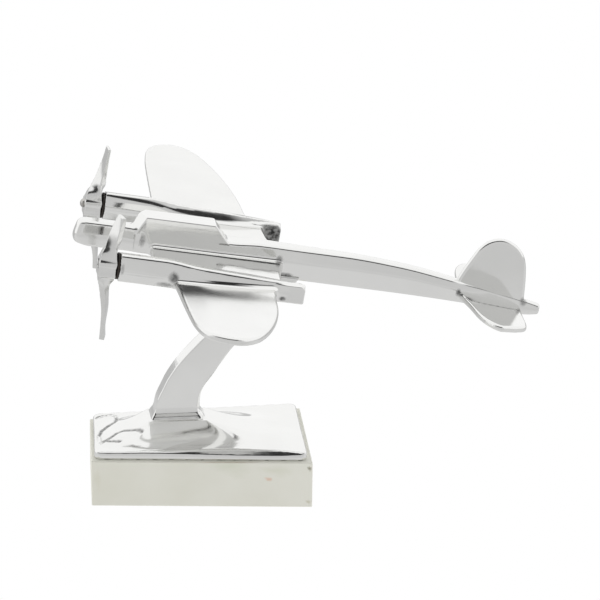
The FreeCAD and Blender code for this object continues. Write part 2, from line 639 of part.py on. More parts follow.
keep("base_block", cut("base_block", block, [bolt_bore] + screw_bores + [bolt, *screws]))
keep("felt_pad", felt)
keep("base_cap", cut("base_cap", cap, [bolt] + screws))
keep("base_screws", base_screws)
keep("arm_bolt", bolt)
keep("bolt_washer", bolt_washer)
wing_plank = cut("center_wing", centre_wing, list(wing_pins.values()) + [studs])
keep("center_wing", wing_plank)
for name, sign in SIDES:
    keep(name + "_wing", cut(name + "_wing", outer_wings[name], [wing_pins[name]]))
    keep(name + "_stabilizer", cut(name + "_stabilizer", stabilizers[name], [tail_pin]))
fin_cut = cut("fin", fin, [fin_pins])
keep("fin", fin_cut)
keep("fuselage", cut("fuselage", hull, [centre_wing, fin, stabilizers["left"], stabilizers["right"],
                                        tail_pin, fin_pins, studs]))
for name, sign in SIDES:
    keep(name + "_nacelle", cut(name + "_nacelle", nacelles[name],
                                [centre_wing, outer_wings[name], wing_pins[name], prop_screws[name]]))
    keep(name + "_wing_pins", wing_pins[name])
    keep(name + "_propeller", propellers[name])
    keep(name + "_prop_sleeve", sleeves[name])
    keep(name + "_prop_washer", washers[name])
    keep(name + "_prop_screw", prop_screws[name])
keep("stand_arm", cut("stand_arm", arm, [hull, studs, bolt]))
keep("arm_studs", studs)
keep("tail_pin", tail_pin)
keep("fin_pins", fin_pins)

doc.recompute()
for obj in doc.Objects:
    if "Invalid" in obj.State or "Error" in obj.State:
        raise RuntimeError("%s is in state %s" % (obj.Label, obj.State))
for name, obj in nodes.items():
    shape = obj.Shape
    if shape.isNull() or not shape.isValid():
        raise RuntimeError("%s has no valid shape" % name)
os.makedirs("parts", exist_ok=True)
for name, obj in nodes.items():
    solids = obj.Shape.Solids
    shape = solids[0] if len(solids) == 1 else Part.makeCompound(solids)
    shape.exportStep(os.path.join("parts", name + ".step"))
    print(name, len(solids), round(shape.Volume, 1))
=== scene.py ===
import math

import bpy
import numpy as np
from mathutils import Matrix, Vector


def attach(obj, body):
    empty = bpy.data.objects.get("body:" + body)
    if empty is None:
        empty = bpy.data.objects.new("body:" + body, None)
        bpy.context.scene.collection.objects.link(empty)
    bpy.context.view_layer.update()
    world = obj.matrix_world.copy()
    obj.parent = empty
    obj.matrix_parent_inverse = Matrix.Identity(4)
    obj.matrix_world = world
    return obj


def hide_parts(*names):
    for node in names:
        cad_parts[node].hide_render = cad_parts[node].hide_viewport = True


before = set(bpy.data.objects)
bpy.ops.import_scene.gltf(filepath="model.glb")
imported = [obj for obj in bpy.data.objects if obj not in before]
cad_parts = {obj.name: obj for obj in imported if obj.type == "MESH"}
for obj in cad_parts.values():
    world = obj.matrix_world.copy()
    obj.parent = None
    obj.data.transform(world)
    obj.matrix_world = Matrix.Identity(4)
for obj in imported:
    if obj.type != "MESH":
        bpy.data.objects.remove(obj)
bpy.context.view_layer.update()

MM = 0.001
ROOT = "airframe_and_stand"

# ------------------------------------------------------------------ aircraft attitude in the row frame
NOSE_UP = math.radians(9.36)
TURN = math.radians(2.6)
HUB_POINT = (-55.46, -5.04, 172.07)
ATTITUDE = (Matrix.Translation(HUB_POINT) @ Matrix.Rotation(TURN, 4, "Z") @ Matrix.Rotation(NOSE_UP, 4, "Y"))
ARM_TO_PORT = 2.52
HUB_Y = 58.9
SIDES = (("left", -1), ("right", 1))


# ------------------------------------------------------------------ distance functions (mm)
def rounded_and(a, b, r):
    """Where both solids are: their meeting edge gets radius r."""
    inner = np.minimum(np.maximum(a, b) + r, 0)
    return np.sqrt(np.maximum(a + r, 0) ** 2 + np.maximum(b + r, 0) ** 2) + inner - r


def rounded_or(a, b, r):
    """Where either solid is: the corner between them gets a fillet of radius r."""
    return -rounded_and(-a, -b, r)


def smooth_steps(x, table):
    """Monotone cubic through a table of (x, value)."""
    xs = np.array([p[0] for p in table], float)
    ys = np.array([p[1] for p in table], float)
    h = np.diff(xs)
    d = np.diff(ys) / h
    m = np.zeros(len(xs))
    for i in range(1, len(xs) - 1):
        if d[i - 1] * d[i] > 0:
            w1 = 2 * h[i] + h[i - 1]
            w2 = h[i] + 2 * h[i - 1]
            m[i] = (w1 + w2) / (w1 / d[i - 1] + w2 / d[i])
    m[0], m[-1] = d[0], d[-1]
    x = np.clip(x, xs[0], xs[-1])
    i = np.clip(np.searchsorted(xs, x) - 1, 0, len(h) - 1)
    t = (x - xs[i]) / h[i]
    return ((1 + 2 * t) * (1 - t) ** 2 * ys[i] + t * (1 - t) ** 2 * h[i] * m[i]
            + t * t * (3 - 2 * t) * ys[i + 1] + t * t * (t - 1) * h[i] * m[i + 1])


def closed_curve(points, corners=(), steps=8):
    """A closed outline through the points: smooth, except at the numbered corners."""
    n = len(points)
    p = [np.array(q, float) for q in points]
    out = []
    for i in range(n):
        a, b = p[i], p[(i + 1) % n]
        span = b - a
        lead_in = span if i in corners else (b - p[i - 1]) / 2
        lead_out = span if (i + 1) % n in corners else (p[(i + 2) % n] - a) / 2
        length = np.linalg.norm(span)
        lead_in = lead_in / np.linalg.norm(lead_in) * length
        lead_out = lead_out / np.linalg.norm(lead_out) * length
        for k in range(steps):
            t = k / steps
            out.append((1 + 2 * t) * (1 - t) ** 2 * a + t * (1 - t) ** 2 * lead_in
                       + t * t * (3 - 2 * t) * b + t * t * (t - 1) * lead_out)
    return np.array(out)


def outline_distance(u, v, outline):
    """Signed distance to a closed outline: negative inside."""
    best = np.full(u.shape, 1e9)
    inside = np.zeros(u.shape, bool)
    for a, b in zip(outline, np.roll(outline, -1, axis=0)):
        e = b - a
        t = np.clip(((u - a[0]) * e[0] + (v - a[1]) * e[1]) / (e @ e), 0, 1)
        best = np.minimum(best, (u - a[0] - t * e[0]) ** 2 + (v - a[1] - t * e[1]) ** 2)
        if a[1] != b[1]:
            crosses = ((a[1] <= v) & (v < b[1])) | ((b[1] <= v) & (v < a[1]))
            inside ^= crosses & (u < a[0] + (v - a[1]) * e[0] / e[1])
    return np.where(inside, -1, 1) * np.sqrt(best)


def hexagon(x, y, z, rows, r_deck, r_side, r_keel):
    """A six-sided casting. rows: x, deck, half width, parting line, half width, keel, half width."""
    deck, deck_half, part, part_half, keel, keel_half = [
        smooth_steps(x, [(row[0], row[c]) for row in rows]) for c in range(1, 7)]
    ay = np.abs(y)
    nu, nv = deck - part, part_half - deck_half
    upper = ((ay - part_half) * nu + (z - part) * nv) / np.hypot(nu, nv)
    mu, mv = part - keel, keel_half - part_half
    lower = ((ay - part_half) * mu + (z - part) * mv) / np.hypot(mu, mv)
    d = rounded_and(upper, lower, r_side)
    d = rounded_and(d, z - deck, r_deck)
    return rounded_and(d, keel - z, r_keel)


# ------------------------------------------------------------------ meshes from distance functions
def surface(f, low, high, step):
    """Surface nets on a grid, then each point is pulled onto the true surface."""
    axes = [np.arange(lo - 3 * step, hi + 4 * step, step) for lo, hi in zip(low, high)]
    grid = np.meshgrid(*axes, indexing="ij")
    F = f(*grid)
    shape = tuple(n - 1 for n in F.shape)
    total = np.zeros(shape + (3,))
    count = np.zeros(shape)
    quads = []
    inside = F < 0
    for axis in range(3):
        lo = [slice(None)] * 3
        hi = [slice(None)] * 3
        lo[axis], hi[axis] = slice(0, -1), slice(1, None)
        a, b = F[tuple(lo)], F[tuple(hi)]
        cross = inside[tuple(lo)] != inside[tuple(hi)]
        i, j, k = np.nonzero(cross)
        t = a[i, j, k] / (a[i, j, k] - b[i, j, k])
        point = np.stack([i, j, k], 1).astype(float)
        point[:, axis] += t
        others = [o for o in range(3) if o != axis]
        for du in (0, 1):
            for dv in (0, 1):
                cell = np.stack([i, j, k], 1)
                cell[:, others[0]] -= du
                cell[:, others[1]] -= dv
                ok = np.all((cell >= 0) & (cell < shape), axis=1)
                c = cell[ok]
                np.add.at(total, tuple(c.T), point[ok])
                np.add.at(count, tuple(c.T), 1)
        base = np.stack([i, j, k], 1)
        ok = (base[:, others[0]] > 0) & (base[:, others[1]] > 0)
        base = base[ok]
        ring = []
        for du, dv in ((0, 0), (1, 0), (1, 1), (0, 1)):
            c = base.copy()
            c[:, others[0]] -= du
            c[:, others[1]] -= dv
            ring.append(c)
        ring = np.stack(ring, 1)
        flip = inside[tuple(lo)][tuple(base.T)] == (axis == 1)
        ring[flip] = ring[flip][:, ::-1]
        quads.append(ring)
    used = count > 0
    index = np.full(shape, -1)
    index[used] = np.arange(used.sum())
    at = total[used] / count[used][:, None] * step + np.array([ax[0] for ax in axes])
    faces = [index[tuple(np.moveaxis(q, 2, 0))] for q in quads]
    faces = np.concatenate(faces)
    normal = None
    for turn in range(3):
        normal = gradient(f, at)
        size = np.maximum((normal ** 2).sum(1), 0.05)
        if turn < 2:
            move = -(f(*at.T) / size)[:, None] * normal
            far = np.linalg.norm(move, axis=1)
            move *= np.minimum(1, 0.7 * step / np.maximum(far, 1e-9))[:, None]
            at = at + move
    return at, faces, normal / np.linalg.norm(normal, axis=1)[:, None]


def gradient(f, at, e=0.02):
    out = np.zeros_like(at)
    for axis in range(3):
        d = np.zeros(3)
        d[axis] = e
        out[:, axis] = (f(*(at + d).T) - f(*(at - d).T)) / (2 * e)
    return out


def cast_piece(name, f, low, high, step, material, nodes, place=None, body=ROOT,
               shade=None):
    """Meshes a distance function and hangs the piece on its body, in the row frame."""
    at, faces, normal = surface(f, low, high, step)
    mesh = bpy.data.meshes.new(name)
    mesh.from_pydata([], [], [])
    mesh.clear_geometry()
    mesh.vertices.add(len(at))
    turn = np.array(place.to_3x3()) if place else np.eye(3)
    shift = np.array(place.translation) if place else np.zeros(3)
    world = (at @ turn.T + shift) * MM
    mesh.vertices.foreach_set("co", world.astype(np.float32).ravel())
    mesh.loops.add(faces.size)
    mesh.loops.foreach_set("vertex_index", faces.astype(np.int32).ravel())
    mesh.polygons.add(len(faces))
    mesh.polygons.foreach_set("loop_start", np.arange(0, faces.size, 4, dtype=np.int32))
    mesh.polygons.foreach_set("use_smooth", np.ones(len(faces), bool))
    mesh.update(calc_edges=True)
    mesh.validate()
    mesh.normals_split_custom_set_from_vertices((normal @ turn.T).tolist())
    if shade is not None:
        layer = mesh.attributes.new("shade", "FLOAT", "POINT")
        layer.data.foreach_set("value", shade(*at.T).astype(np.float32))
    obj = bpy.data.objects.new(name, mesh)
    bpy.context.scene.collection.objects.link(obj)
    mesh.materials.append(material)
    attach(obj, body)
    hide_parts(*nodes)
    return obj


# ------------------------------------------------------------------ materials
def new_material(name):
    material = bpy.data.materials.new(name)
    material.use_nodes = True
    tree = material.node_tree
    return material, tree, tree.nodes["Principled BSDF"]


def add_node(tree, kind, **inputs):
    node = tree.nodes.new(kind)
    for key, value in inputs.items():
        node.inputs[key.replace("_", " ")].default_value = value
    return node


def ramp(tree, source, stops):
    node = tree.nodes.new("ShaderNodeValToRGB")
    for number, (at, value) in enumerate(stops):
        stop = node.color_ramp.elements[number] if number < 2 else node.color_ramp.elements.new(at)
        stop.position = at
        stop.color = (value, value, value, 1) if isinstance(value, float) else value
    tree.links.new(source, node.inputs["Fac"])
    return node


def link_multiply(tree, a, b, out):
    node = tree.nodes.new("ShaderNodeVectorMath")
    node.operation = "MULTIPLY"
    tree.links.new(a, node.inputs[0])
    tree.links.new(b, node.inputs[1])
    tree.links.new(node.outputs["Vector"], out)


def polished_metal(name, tone=0.86, low=0.08, high=0.14, dent=0.15):
    """Hand-polished aluminium. The mesh attribute "shade" marks spots that are made rougher and painted
    darker, as painted shade and painted reflection.
    """
    material, tree, shader = new_material(name)
    coords = tree.nodes.new("ShaderNodeTexCoord")
    shader.inputs["Metallic"].default_value = 1.0
    cloud = add_node(tree, "ShaderNodeTexNoise", Scale=38.0, Detail=3.0)
    tree.links.new(coords.outputs["Object"], cloud.inputs["Vector"])
    colour = ramp(tree, cloud.outputs["Fac"], [(0.3, (tone, tone, tone * 0.985, 1)),
                                              (0.7, (tone * 0.965, tone * 0.965, tone * 0.95, 1))])
    shade_and_rough_marks = tree.nodes.new("ShaderNodeAttribute")
    shade_and_rough_marks.attribute_name = "shade"
    speckle = add_node(tree, "ShaderNodeTexNoise", Scale=420.0, Detail=3.0)
    tree.links.new(coords.outputs["Object"], speckle.inputs["Vector"])
    speckled_shade = tree.nodes.new("ShaderNodeMath")
    speckled_shade.operation = "MULTIPLY"
    uneven = ramp(tree, speckle.outputs["Fac"], [(0.36, 0.55), (0.62, 1.0)])
    tree.links.new(shade_and_rough_marks.outputs["Fac"], speckled_shade.inputs[0])
    tree.links.new(uneven.outputs["Color"], speckled_shade.inputs[1])
    # The "shade" attribute darkens the colour here: painted shade and painted reflection.
    painted_darkening = ramp(tree, speckled_shade.outputs["Value"], [(0.0, 1.0), (1.0, 0.03)])
    link_multiply(tree, colour.outputs["Color"], painted_darkening.outputs["Color"], shader.inputs["Base Color"])
    haze = add_node(tree, "ShaderNodeTexNoise", Scale=160.0, Detail=4.0)
    tree.links.new(coords.outputs["Object"], haze.inputs["Vector"])
    rough = ramp(tree, haze.outputs["Fac"], [(0.35, low), (0.75, high)])
    rougher = tree.nodes.new("ShaderNodeMath")
    rougher.operation = "MULTIPLY_ADD"
    rougher.use_clamp = True
    rougher.inputs[1].default_value = 0.35
    tree.links.new(shade_and_rough_marks.outputs["Fac"], rougher.inputs[0])
    tree.links.new(rough.outputs["Color"], rougher.inputs[2])
    tree.links.new(rougher.outputs["Value"], shader.inputs["Roughness"])
    ripple = add_node(tree, "ShaderNodeTexNoise", Scale=55.0, Detail=2.0)
    tree.links.new(coords.outputs["Object"], ripple.inputs["Vector"])
    bump = add_node(tree, "ShaderNodeBump", Strength=dent, Distance=0.001)
    tree.links.new(ripple.outputs["Fac"], bump.inputs["Height"])
    tree.links.new(bump.outputs["Normal"], shader.inputs["Normal"])
    return material


def blot(tree, coords, centre, radii):
    """1 in the middle of an ellipsoid (mm), falling to 0 at its edge; the edge is uneven."""
    place = tree.nodes.new("ShaderNodeMapping")
    place.inputs["Scale"].default_value = [1 / (r * MM) for r in radii]
    place.inputs["Location"].default_value = [-c / r for c, r in zip(centre, radii)]
    tree.links.new(coords.outputs["Object"], place.inputs["Vector"])
    wander = add_node(tree, "ShaderNodeTexNoise", Scale=1.6, Detail=3.0)
    tree.links.new(place.outputs["Vector"], wander.inputs["Vector"])
    size = tree.nodes.new("ShaderNodeVectorMath")
    size.operation = "LENGTH"
    tree.links.new(place.outputs["Vector"], size.inputs[0])
    total = tree.nodes.new("ShaderNodeMath")
    tree.links.new(size.outputs["Value"], total.inputs[0])
    tree.links.new(wander.outputs["Fac"], total.inputs[1])
    return ramp(tree, total.outputs["Value"], [(0.55, 1.0), (1.0, 0.0)])


def silver_paint():
    """Matt champagne paint, a little cloudy, with stains, worn places and a band of painted shade along the
    joint under the cap.
    """
    material, tree, shader = new_material("block_paint")
    coords = tree.nodes.new("ShaderNodeTexCoord")
    shader.inputs["Metallic"].default_value = 0.0
    shader.inputs["Roughness"].default_value = 0.5
    cloud = add_node(tree, "ShaderNodeTexNoise", Scale=22.0, Detail=5.0)
    tree.links.new(coords.outputs["Object"], cloud.inputs["Vector"])
    colour = ramp(tree, cloud.outputs["Fac"], [(0.3, (0.80, 0.795, 0.70, 1)), (0.7, (0.86, 0.855, 0.775, 1))])
    paint = colour.outputs["Color"]
    for centre, radii, tint, strength in STAINS_AND_JOINT_SHADE:
        where = blot(tree, coords, centre, radii)
        share = tree.nodes.new("ShaderNodeMath")
        share.operation = "MULTIPLY"
        share.inputs[1].default_value = strength
        tree.links.new(where.outputs["Color"], share.inputs[0])
        mix = tree.nodes.new("ShaderNodeMix")
        mix.data_type = "RGBA"
        first, second = [socket for socket in mix.inputs if socket.type == "RGBA"]
        tree.links.new(share.outputs["Value"], mix.inputs["Factor"])
        tree.links.new(paint, first)
        second.default_value = tint
        paint = [socket for socket in mix.outputs if socket.type == "RGBA"][0]
    tree.links.new(paint, shader.inputs["Base Color"])
    return material


def plain(name, colour, rough, metallic=0.0, depth=0.2):
    """A plain material with a fine, slightly uneven grain."""
    material, tree, shader = new_material(name)
    coords = tree.nodes.new("ShaderNodeTexCoord")
    shader.inputs["Metallic"].default_value = metallic
    grain = add_node(tree, "ShaderNodeTexNoise", Scale=300.0, Detail=4.0)
    tree.links.new(coords.outputs["Object"], grain.inputs["Vector"])
    dark = tuple(c * 0.8 for c in colour) + (1,)
    light = tuple(min(1, c * 1.15) for c in colour) + (1,)
    tone = ramp(tree, grain.outputs["Fac"], [(0.35, dark), (0.65, light)])
    tree.links.new(tone.outputs["Color"], shader.inputs["Base Color"])
    gloss = ramp(tree, grain.outputs["Fac"], [(0.3, rough * 0.85), (0.7, min(1.0, rough * 1.15))])
    tree.links.new(gloss.outputs["Color"], shader.inputs["Roughness"])
    bump = add_node(tree, "ShaderNodeBump", Strength=depth, Distance=0.0002)
    tree.links.new(grain.outputs["Fac"], bump.inputs["Height"])
    tree.links.new(bump.outputs["Normal"], shader.inputs["Normal"])
    return material


# Stains and worn places on the block's paint, and last a band of painted shade along the joint under the cap:
# middle and radii (mm, row frame), colour, strength.
STAINS_AND_JOINT_SHADE = (
    ((42, -46, 19.5), (5.5, 9, 4.2), (0.75, 0.36, 0.2, 1), 0.5),
    ((20, -42, 27), (30, 12, 14), (0.62, 0.66, 0.5, 1), 0.4),
    ((48, -45, 25), (26, 9, 9), (0.66, 0.68, 0.52, 1), 0.35),
    ((68, -47, 27), (3.4, 5, 4.5), (0.22, 0.2, 0.12, 1), 0.8),
    ((67.5, -47, 4), (4, 5, 4), (0.5, 0.46, 0.3, 1), 0.5),
    ((-66, -36, 18), (6, 6, 16), (0.7, 0.68, 0.54, 1), 0.4),
    # Painted shade: a dark band along the block's top front edge, under the cap.
    ((10, -44, 31), (58, 8, 1.6), (0.5, 0.4, 0.3, 1), 0.6),
)
CAST = polished_metal("polished_cast")
# The blades' cast metal is a little rougher, and its tone is painted darker than the rest: painted shade.
SHADED_BLADE = polished_metal("blade_metal_painted_darker", tone=0.82, low=0.14, high=0.24)
SATIN = polished_metal("wing_metal", low=0.17, high=0.19, dent=0.05)
PAINT = silver_paint()
FINISH = {
    "felt_pad": plain("felt", (0.03, 0.03, 0.032), 0.95, depth=0.8),
    "base_block": PAINT,
}
washer_black = plain("dark_washer", (0.02, 0.014, 0.01), 0.6)
screw_metal = plain("screw_metal", (0.5, 0.49, 0.47), 0.28, metallic=1.0)
hidden_metal = plain("hidden_metal", (0.4, 0.4, 0.4), 0.45, metallic=1.0)
sleeve_metal = plain("sleeve_metal", (0.7, 0.52, 0.2), 0.35, metallic=1.0)
for name, _ in SIDES:
    FINISH[name + "_prop_washer"] = washer_black
    FINISH[name + "_prop_screw"] = screw_metal
    FINISH[name + "_prop_sleeve"] = sleeve_metal
    FINISH[name + "_wing_pins"] = hidden_metal
for name in ("arm_bolt", "bolt_washer", "base_screws", "arm_studs", "fin_pins", "tail_pin"):
    FINISH[name] = hidden_metal
for name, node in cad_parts.items():
    node.data.materials.clear()
    node.data.materials.append(FINISH.get(name, CAST))

# ------------------------------------------------------------------ airframe (mm, aircraft frame)
SIDE = 8.26
# x, deck, half width, parting line, half width, keel, half width
HULL = (
    (-26.0, 8.7, 5.4, -0.6, 6.2, -7.9, 5.0), (6.0, 8.7, 5.4, -0.6, 6.2, -7.9, 5.0),
    (13.0, 8.6, 5.9, -0.7, 6.7, -7.9, 5.4), (19.6, 8.5, 8.2, -0.8, SIDE, -7.9, 6.5),
    (64.3, 8.5, 8.2, -1.0, SIDE, -10.1, 6.1), (76.0, 6.9, 7.7, -1.0, 8.1, -11.1, 5.7),
    (94.0, 7.9, 7.1, -1.1, 7.8, -12.2, 5.3), (120.0, 7.4, 5.9, -1.3, 7.3, -13.6, 4.9),
    (152.0, 7.0, 4.5, -1.3, 6.9, -13.9, 4.7), (186.0, 4.8, 4.2, -2.2, 6.4, -14.2, 4.5),
    (221.0, 0.0, 3.7, -6.0, 5.8, -15.0, 4.3), (232.0, -2.0, 2.4, -7.6, 4.2, -15.7, 3.6),
    (250.0, -5.1, 2.3, -10.3, 3.0, -17.1, 3.0), (272.0, -8.8, 2.4, -13.3, 3.1, -18.6, 2.9),
    (284.0, -11.2, 2.4, -13.9, 3.2, -17.0, 2.7),
)
# height, x of the nose there
NOSE_FRONT = (
    (-9.0, -12.0), (-7.6, -18.0), (-5.8, -22.9), (-1.9, -24.1), (2.9, -23.3), (7.6, -21.6), (9.5, -18.5),
)
FLARE = ((-30, 6.0), (6.0, 6.1), (11.0, 6.4), (15.0, 7.0), (17.6, 7.6), (19.6, SIDE))
SCREEN = np.array((-0.832, 0.455, 0.319))
# Outlines in plan, as (x, outwards).
INNER_WING = closed_curve([(25.6, 0), (24.6, 30), (23.4, 62), (103.4, 62), (105.0, 36), (109.6, 9),
                           (109.6, 0), (109.6, -9), (105.0, -36), (103.4, -62), (23.4, -62), (24.6, -30)],
                          corners=(2, 3, 9, 10), steps=3)
WING_ROOT = 65.4
REACH = 189.5 - WING_ROOT
WING = closed_curve([(35.0, -8), (35.0, 20), (35.2, REACH - 50), (36.2, REACH - 26), (39.4, REACH - 10.5),
                     (46.5, REACH - 3.0), (57.0, REACH), (66.0, REACH - 3.6), (75.0, REACH - 15.5),
                     (85.4, REACH - 43.0), (93.4, REACH - 78), (97.4, 8), (98.2, -8)],
                    corners=(0, 12), steps=6)
WING_HALF = 2.3
DIHEDRAL = math.radians(5.2)
# How far the rear of the root is built up, by side, and how far outwards that reaches.
ROOT_CLIMB = {-1: 2.0, 1: 0.0}
CLIMB_REACH = 9
STAB = closed_curve([(-3.4, -4), (-3.0, 3), (-2.0, 9), (0.6, 23.0), (3.3, 43.0), (7.9, 53.8), (14.2, 59.0),
                     (20.6, 56.4), (28.3, 51.6), (34.5, 44.6), (37.2, 20), (39.0, 5), (39.6, -4)],
                    corners=(0, 12), steps=6)
STAB_HALF = 2.1
STAB_DROP = math.atan(0.12)
# The fin from the side, as (x, z).
FIN = closed_curve([(223.6, -6), (226.4, 2.6), (231.0, 12.9), (235.8, 22.0), (241.5, 27.5), (248.3, 29.6),
                    (255.0, 28.4), (262.0, 24.2), (266.6, 17.6), (269.2, 7.0), (271.4, -13)],
                   corners=(0, 10), steps=6)


def slab_frame(x, y, z, sign, start, tilt, drop=0.0):
    """Coordinates in a plate's own frame: along x, outwards, and up from its middle plane."""
    x, y, z = x - start[0], y * sign - start[1], z - start[2]
    x, z = x * math.cos(drop) - z * math.sin(drop), x * math.sin(drop) + z * math.cos(drop)
    return x, y * math.cos(tilt) + z * math.sin(tilt), z * math.cos(tilt) - y * math.sin(tilt)


def inner_wing(x, y, z):
    """The top climbs a little from the fuselage to the nacelles."""
    climb = 1.5 * np.clip((np.abs(y) - 10) / 40, 0, 1)
    return rounded_and(outline_distance(x, y, INNER_WING), np.maximum(z + 1.2 - climb, -8 - z), 2.0)


def outer_wing(x, y, z, sign):
    """A flat panel that rises outwards from the nacelle."""
    x, out, up = slab_frame(x, y, z, sign, (0, WING_ROOT, -3.0 - WING_HALF), DIHEDRAL)
    climb = ROOT_CLIMB[sign] * smooth_steps(x, ((36, 0.0), (95, 1.0)))
    climb = climb * np.exp(-(np.maximum(out, 0) / CLIMB_REACH) ** 2)
    thick = np.maximum(up - WING_HALF - climb, -WING_HALF - up)
    return rounded_and(outline_distance(x, out, WING), thick, 1.9)


def stabilizer(x, y, z, sign):
    x, out, up = slab_frame(x, y, z, sign, (230, 1.0, -8.5 - STAB_HALF), math.radians(1.7), STAB_DROP)
    return rounded_and(outline_distance(x, out, STAB), np.abs(up) - STAB_HALF, 1.9)


def fin(x, y, z):
    return rounded_and(outline_distance(x, z, FIN), np.abs(y) - 2.3, 2.2)


def fuselage(x, y, z):
    """Nose, body, boom and tail stub as one long hull, with the cabin block on its deck."""
    hull = hexagon(x, y, z, HULL, 2.2, 0.5, 1.6)
    front = smooth_steps(z, NOSE_FRONT) - x + 0.05 * y * y
    hull = rounded_and(hull, front * 0.9, 2.6)
    hull = rounded_and(hull, x - 281.9, 1.2)
    ay = np.abs(y)
    screen = SCREEN[0] * (x - 12.6) + SCREEN[1] * ay + SCREEN[2] * (z - 10)
    rear = 0.751 * (x - 64.6) + 0.66 * (z - 16.6)
    cabin = rounded_and(ay - smooth_steps(x, FLARE), z - 17.0, 0.7)
    cabin = rounded_and(cabin, screen, 0.6)
    cabin = rounded_and(cabin, rear, 0.8)
    cabin = np.maximum(cabin, 5.5 - z)
    return rounded_or(hull, cabin, 0.02 + 2.2 * np.clip((SIDE - 0.6 - ay) / 3, 0, 1))


# x, deck, half width, parting line, half width, keel, half width
NACELLE = (
    (-1.0, 8.4, 5.6, -0.4, 8.4, -8.3, 5.6), (28.0, 8.2, 5.4, -0.8, 8.4, -8.6, 5.5),
    (50.0, 5.9, 5.8, -1.0, 8.4, -8.9, 5.3), (81.0, 4.4, 5.6, -1.6, 7.9, -9.2, 4.9),
    (100.0, 3.4, 3.6, -2.6, 5.4, -9.5, 3.8), (118.0, 2.4, 1.2, -3.4, 1.9, -9.5, 1.6),
)
# By nacelle: the deck's slope across, how far it is raised, and (x, how deep its edge is ground off).
DECK_LEAN = {"left": 0.19, "right": 0.26}
DECK_LIFT = {"left": 0.0, "right": 0.9}
BEVEL = {"left": ((0, 0.9), (117, 0.9)), "right": ((0, 1.5), (25, 2.8), (55, 5.0), (100, 5.4), (117, 4.2))}
BEVEL_SLOPE = math.radians(35)


def nacelle(x, y, z, name):
    """y is measured from the nacelle's own axis. The deck leans; its edge on the -y side is ground off."""
    high = z + DECK_LEAN[name] * y * smooth_steps(z, ((-2, 0.0), (6, 1.0))) - DECK_LIFT[name] * (z > 0)
    d = hexagon(x, y, high, NACELLE, 1.6, 0.5, 1.2)
    deck, deck_half, part, part_half = [
        smooth_steps(x, [(row[0], row[c]) for row in NACELLE]) for c in range(1, 5)]
    drop = smooth_steps(x, BEVEL[name])
    edge = deck_half + (part_half - deck_half) * drop / (deck - part)
    ground = (-y - edge) * math.cos(BEVEL_SLOPE) + (high - deck + drop) * math.sin(BEVEL_SLOPE)
    d = rounded_and(d, ground, 0.5)
    d = rounded_and(d, -x, 0.4)
    d = rounded_and(d, x - 116.8, 0.6)
    stub = rounded_and(np.abs(y) - 4.3, np.abs(z + 3.65) - 5.75, 0.9)
    stub = rounded_and(stub, x - 116.8, 1.0)
    stub = rounded_and(stub, 90 - x, 0.8)
    stub = rounded_and(stub, 0.7 * (x - 116.4) + 0.7 * (z - 0.4), 0.6)
    return rounded_or(d, stub, 0.8)


# Each piece is cut from the same blended form, and laps 1.5 mm under its neighbour, so no seam shows.
LAP = 1.5
FILLET = 2.4


def fuselage_piece(x, y, z):
    d = rounded_or(fuselage(x, y, z), inner_wing(x, y, z), FILLET)
    return np.maximum(d, np.abs(y) - 12 - LAP)


# Spots at the inside corners and along a crease, made rougher and darker: middle and radii (mm, aircraft
# frame), depth. The roughness is unpolished casting; the darkening is painted shade, and at the far stub's
# end and beside the windshield a painted reflection.
SHADED_ROUGH_SPOTS = (
    ((33.5, -67.5, -1.0), (3.0, 3, 4.0), 0.75), ((29, -66.5, -6.5), (5.5, 3, 1.8), 0.55),
    ((1.6, -67.2, 0.5), (1.0, 3, 3.6), 0.4), ((15, -67.5, -2.2), (13, 3, 0.5), 0.15),
    ((107.5, -8.5, -0.5), (2.2, 3.5, 3.0), 0.6), ((103.2, -63.5, -6.8), (2.0, 2.5, 1.4), 0.9),
    ((112.5, -6.5, -10.5), (5.5, 3.5, 1.6), 0.85), ((226.5, -6, -8.4), (1.6, 3, 2.6), 0.85),
    ((270.5, -3, -9.6), (2.4, 3, 2.8), 0.6), ((111, 54.2, -3.6), (7.5, 3.4, 7.5), 0.97),
    ((19.2, -7.8, 1.4), (1.6, 3, 4.2), 0.5),
)


# Painted shade and painted reflection, with real roughness: how much each point is darkened and roughened.
def shade_and_roughness_spots(x, y, z):
    total = np.zeros_like(x)
    for centre, radii, depth in SHADED_ROUGH_SPOTS:
        far = np.sqrt(sum(((p - c) / r) ** 2 for p, c, r in zip((x, y, z), centre, radii)))
        total = np.maximum(total, depth * np.clip((1.25 - far) / 0.6, 0, 1))
    return total


